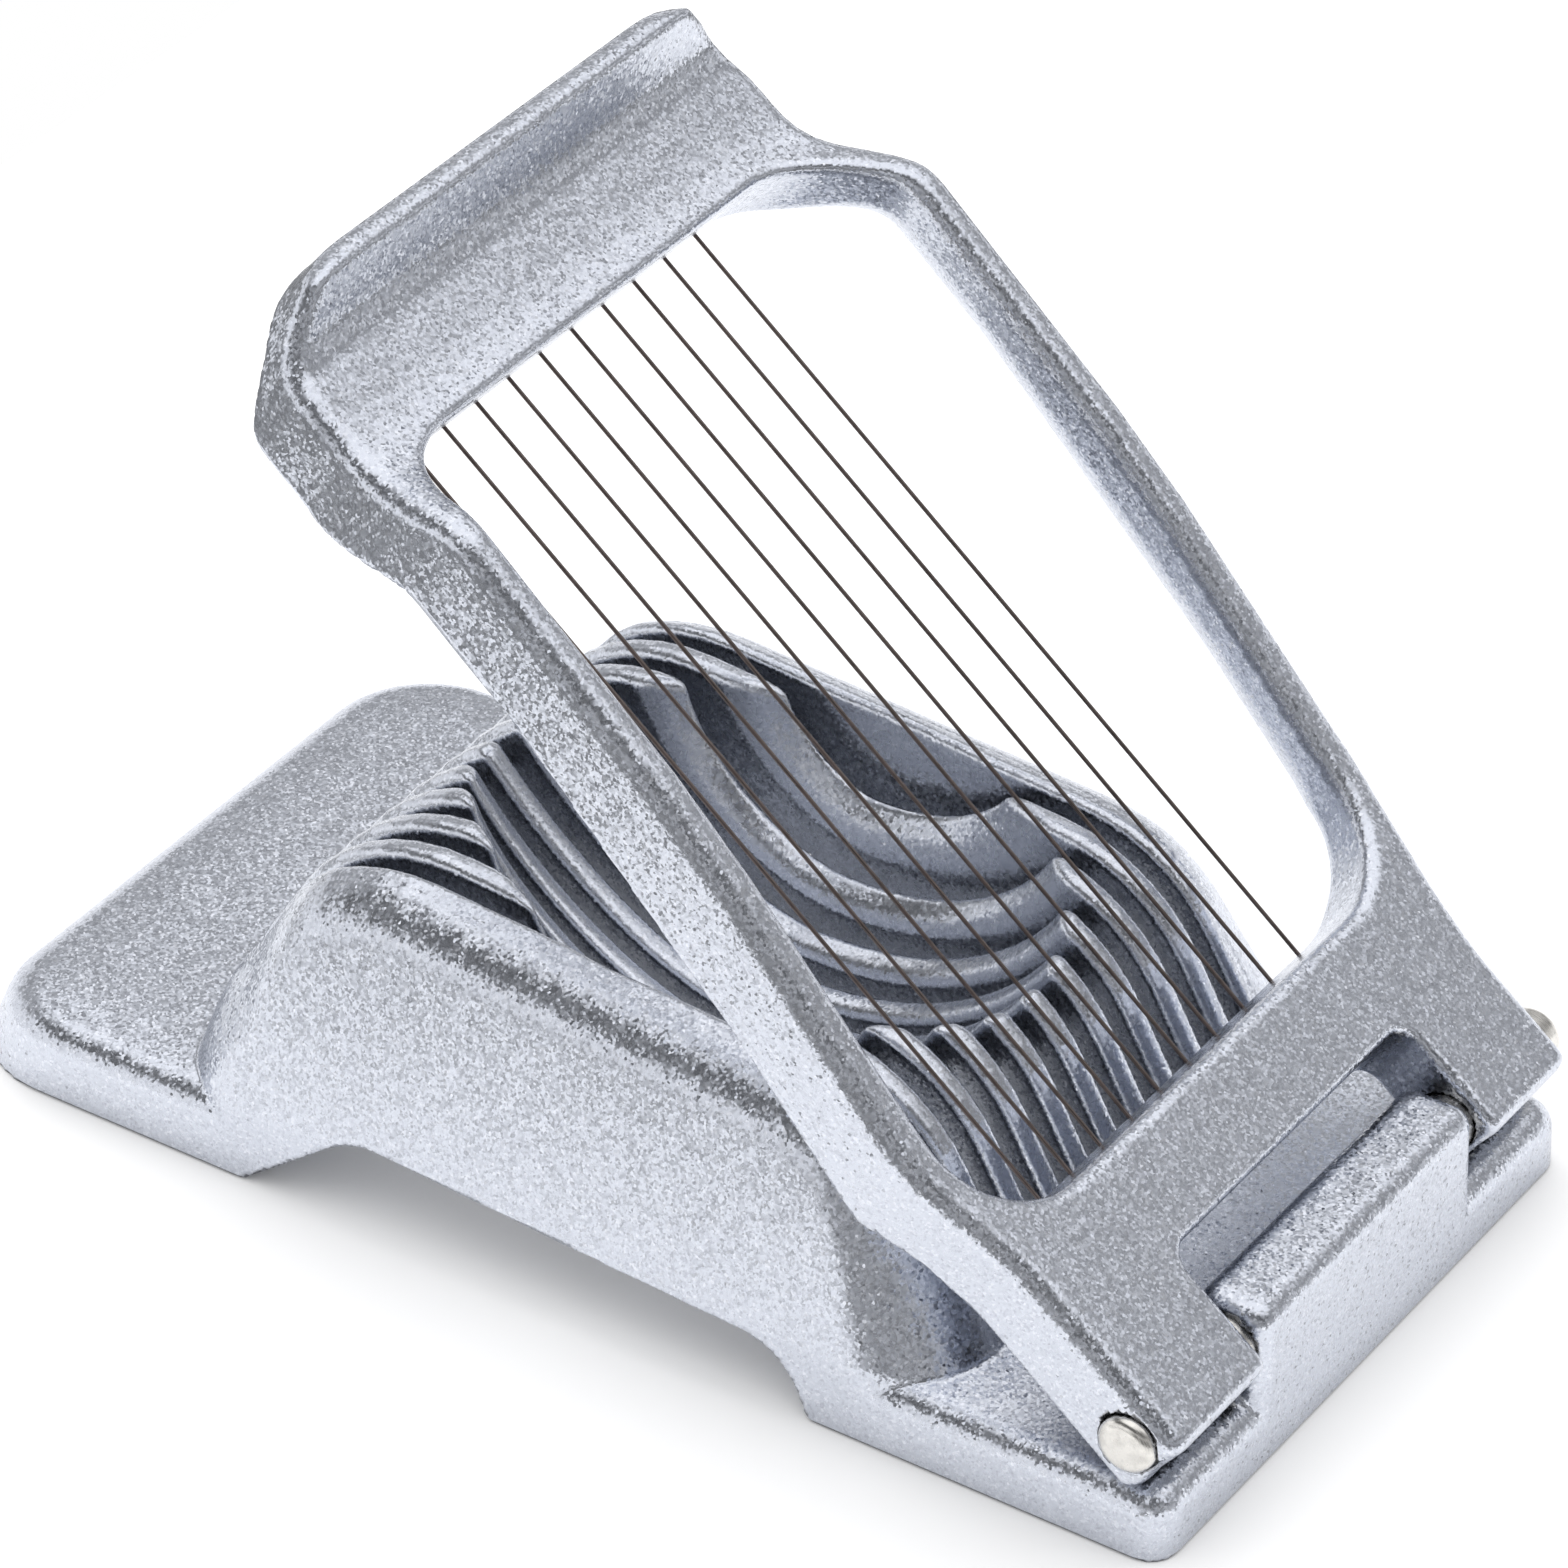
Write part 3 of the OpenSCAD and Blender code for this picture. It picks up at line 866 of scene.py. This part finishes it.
def make_pin():
    """A round pin with bevelled ends, turned about its own length."""
    profile = [(radius, PIN_FAR - back) for radius, back in PIN_ENDS]
    profile += [(radius, PIN_NEAR + back) for radius, back in reversed(PIN_ENDS)]
    points = []
    for radius, y in profile:
        for k in range(PIN_TURNS):
            angle = 2 * math.pi * k / PIN_TURNS
            points.append((radius * math.cos(angle), y, radius * math.sin(angle)))
    faces = ring_faces(len(profile) - 1, PIN_TURNS)
    points.append((0, PIN_FAR, 0))
    points.append((0, PIN_NEAR, 0))
    last = (len(profile) - 1) * PIN_TURNS
    for k in range(PIN_TURNS):
        faces.append((len(points) - 2, (k + 1) % PIN_TURNS, k))
        faces.append((len(points) - 1, last + k, last + (k + 1) % PIN_TURNS))
    placed = (np.array(points) + np.array((HINGE_X, 0, HINGE_Z))) * MM
    mesh = bpy.data.meshes.new("pin")
    mesh.from_pydata(placed, [], faces)
    mesh.shade_smooth()
    pin = bpy.data.objects.new("pin", mesh)
    bpy.context.scene.collection.objects.link(pin)
    dress(pin, steel_material("pin_steel", PIN_COLOUR, PIN_ROUGHNESS, PIN_LINES))
    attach(pin, "base")
    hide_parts("hinge_pin")


def dress_cad_nodes():
    """The wires and ferrules keep their solids and get better materials."""
    wire = steel_material("wire_steel", WIRE_COLOUR, WIRE_ROUGHNESS, WIRE_LINES)
    brass = steel_material("ferrule_brass", BRASS_COLOUR, WIRE_ROUGHNESS, BRASS_LINES)
    for name, node in frame["nodes"].items():
        if name.startswith("wire_") and name != "wire_frame":
            dress(node, wire)
            node.data.shade_smooth()
        elif "ferrule" in name:
            dress(node, brass)


# ---- Studio ----

CAMERA_PLACE = Vector((HINGE_X + 283.95, -515.062, 475.252)) * MM
CAMERA_RIGHT = Vector((0.831186, 0.555995, 0.000204))
CAMERA_UP = Vector((-0.319960, 0.478026, 0.817996))
CAMERA_BACK = Vector((0.454704, -0.679972, 0.575224))
CAMERA_LENS = 187.36
CAMERA_SENSOR = 36
CAMERA_CLIP = (0.01, 50)


def make_camera():
    data = bpy.data.cameras.new("camera")
    data.sensor_width = CAMERA_SENSOR
    data.lens = CAMERA_LENS
    data.clip_start, data.clip_end = CAMERA_CLIP
    camera = bpy.data.objects.new("camera", data)
    turn = Matrix((CAMERA_RIGHT, CAMERA_UP, CAMERA_BACK)).transposed()
    camera.matrix_world = Matrix.Translation(CAMERA_PLACE) @ turn.to_4x4()
    bpy.context.scene.collection.objects.link(camera)
    bpy.context.scene.camera = camera


# How bright the studio is at heights from the horizon, 0, to straight up, 1
BACK_LIGHT = [
    (0.0, 0.90),
    (0.17, 0.80),
    (0.29, 0.27),
    (0.52, 0.305),
    (0.62, 0.62),
    (0.76, 0.98),
]
FRONT_LIGHT = [
    (0.0, 0.78),
    (0.16, 0.86),
    (0.34, 0.95),
    (0.46, 0.10),
    (0.74, 0.10),
    (0.84, 0.90),
    (0.92, 1.0),
]

# Where the studio turns from front to back, by y, and how much is dimmed to the right, by x and y
FRONT_TO_BACK = (-0.25, 0.15)
RIGHT_DIM = 0.78
RIGHT_X = (-0.22, 0.12)
RIGHT_Y = (0.10, -0.20)
FAR_RIGHT_DIM = 0.45
FAR_RIGHT_X = (0.55, 0.75)
DIM_HEIGHTS = (0.45, 0.20)
UNDER_LIGHT = 0.20
UNDER_HEIGHTS = (0.0, -0.04)
STUDIO_BLUE = 1.01
STUDIO_STRENGTH = 1.25
DOME_RADIUS = 2.0
DOME_TURNS = 48
DOME_RINGS = 24


def light_ramp(nodes, height, stops):
    """Greys at heights, with steady changes between them."""
    ramp = nodes.add("ShaderNodeValToRGB")
    elements = ramp.color_ramp.elements
    while len(elements) < len(stops):
        elements.new(0.5)
    for element, (at, value) in zip(elements, stops):
        element.position = at
        element.color = (value, value, value * STUDIO_BLUE, 1)
    nodes.put(ramp.inputs[0], height)
    return ramp.outputs[0]


def dome_material():
    """Bright overhead and at the horizon, with grey behind and a dark gap in front between them."""
    material = bpy.data.materials.new("studio_dome")
    nodes = Nodes(material)
    place = nodes.add("ShaderNodeTexCoord").outputs["Object"]
    direction = nodes.vector("NORMALIZE", place)
    parts = nodes.add("ShaderNodeSeparateXYZ", Vector=direction)
    back = light_ramp(nodes, parts.outputs[2], BACK_LIGHT)
    front = light_ramp(nodes, parts.outputs[2], FRONT_LIGHT)
    turn = nodes.map(parts.outputs[1], *FRONT_TO_BACK, 0, 1)
    light = nodes.mix(turn, front, back)
    right = nodes.maths(
        "MULTIPLY",
        nodes.map(parts.outputs[0], *RIGHT_X, 0, RIGHT_DIM),
        nodes.map(parts.outputs[1], *RIGHT_Y, 0, 1),
    )
    far_right = nodes.map(parts.outputs[0], *FAR_RIGHT_X, 0, FAR_RIGHT_DIM)
    low = nodes.map(parts.outputs[2], *DIM_HEIGHTS, 0, 1)
    dim = nodes.maths("MULTIPLY", nodes.maths("MAXIMUM", right, far_right), low)
    light = nodes.mix(dim, light, (0, 0, 0, 1))
    under = nodes.map(parts.outputs[2], *UNDER_HEIGHTS, 0, 1)
    light = nodes.mix(under, light, (UNDER_LIGHT, UNDER_LIGHT, UNDER_LIGHT, 1))
    shine = nodes.add("ShaderNodeEmission", Color=light, Strength=STUDIO_STRENGTH)
    nodes.add("ShaderNodeOutputMaterial", Surface=shine.outputs[0])
    return material


def make_dome():
    """The soft studio round the slicer, which the camera looks through."""
    points = []
    for ring in range(DOME_RINGS + 1):
        height = math.pi * ring / DOME_RINGS
        for k in range(DOME_TURNS):
            turn = 2 * math.pi * k / DOME_TURNS
            flat = math.sin(height)
            points.append((flat * math.cos(turn), flat * math.sin(turn), math.cos(height)))
    mesh = bpy.data.meshes.new("studio_dome")
    faces = ring_faces(DOME_RINGS, DOME_TURNS)
    mesh.from_pydata(np.array(points) * DOME_RADIUS, [], faces)
    dome = bpy.data.objects.new("studio_dome", mesh)
    bpy.context.scene.collection.objects.link(dome)
    dress(dome, dome_material())
    dome.data.materials[0].cycles.emission_sampling = "NONE"
    dome.visible_camera = False


def make_world():
    world = bpy.data.worlds.new("white")
    bpy.context.scene.world = world
    nodes = Nodes(world)
    white = nodes.add("ShaderNodeBackground", Color=(1, 1, 1, 1), Strength=1.0)
    nodes.add("ShaderNodeOutputWorld", Surface=white.outputs[0])


# The floor's glow, colour and extent, how far ambient occlusion reaches to fade the glow into a
# painted shadow, and how far it lies below the slicer
FLOOR_GLOW = 0.62
FLOOR_COLOUR = (0.82, 0.82, 0.82, 1)
FLOOR_LOW = (-0.17, -0.139)
FLOOR_HIGH = (0.17, 0.30)
FLOOR_SHADE = 0.045
FLOOR_DROP = 0.02 * MM


def make_floor():
    """A white table top with a glow of its own, which ambient occlusion fades where the slicer
    stands over it: a painted shadow.
    """
    (x0, y0), (x1, y1) = FLOOR_LOW, FLOOR_HIGH
    mesh = bpy.data.meshes.new("floor")
    points = [(x0, y0), (x1, y0), (x1, y1), (x0, y1)]
    mesh.from_pydata([(x, y, -FLOOR_DROP) for x, y in points], [], [(0, 1, 2, 3)])
    floor = bpy.data.objects.new("floor", mesh)
    bpy.context.scene.collection.objects.link(floor)
    material = bpy.data.materials.new("floor_white")
    nodes = Nodes(material)
    cloth = nodes.add("ShaderNodeBsdfDiffuse", Color=FLOOR_COLOUR)
    # Painted shadow: ambient occlusion dims the floor's glow under and round the slicer
    shade = nodes.add("ShaderNodeAmbientOcclusion", Distance=FLOOR_SHADE)
    strength = nodes.maths("MULTIPLY", shade.outputs["AO"], FLOOR_GLOW)
    glow = nodes.add("ShaderNodeEmission", Color=(1, 1, 1, 1), Strength=strength)
    both_shaders = nodes.add("ShaderNodeAddShader")
    nodes.put(both_shaders.inputs[0], cloth.outputs[0])
    nodes.put(both_shaders.inputs[1], glow.outputs[0])
    nodes.add("ShaderNodeOutputMaterial", Surface=both_shaders.outputs[0])
    dress(floor, material)


def make_studio():
    make_camera()
    make_world()
    make_dome()
    make_floor()
    bpy.context.scene.view_settings.view_transform = "Standard"


base_piece = make_base()
make_frame(base_piece.data.materials[0])
make_pin()
dress_cad_nodes()
make_studio()
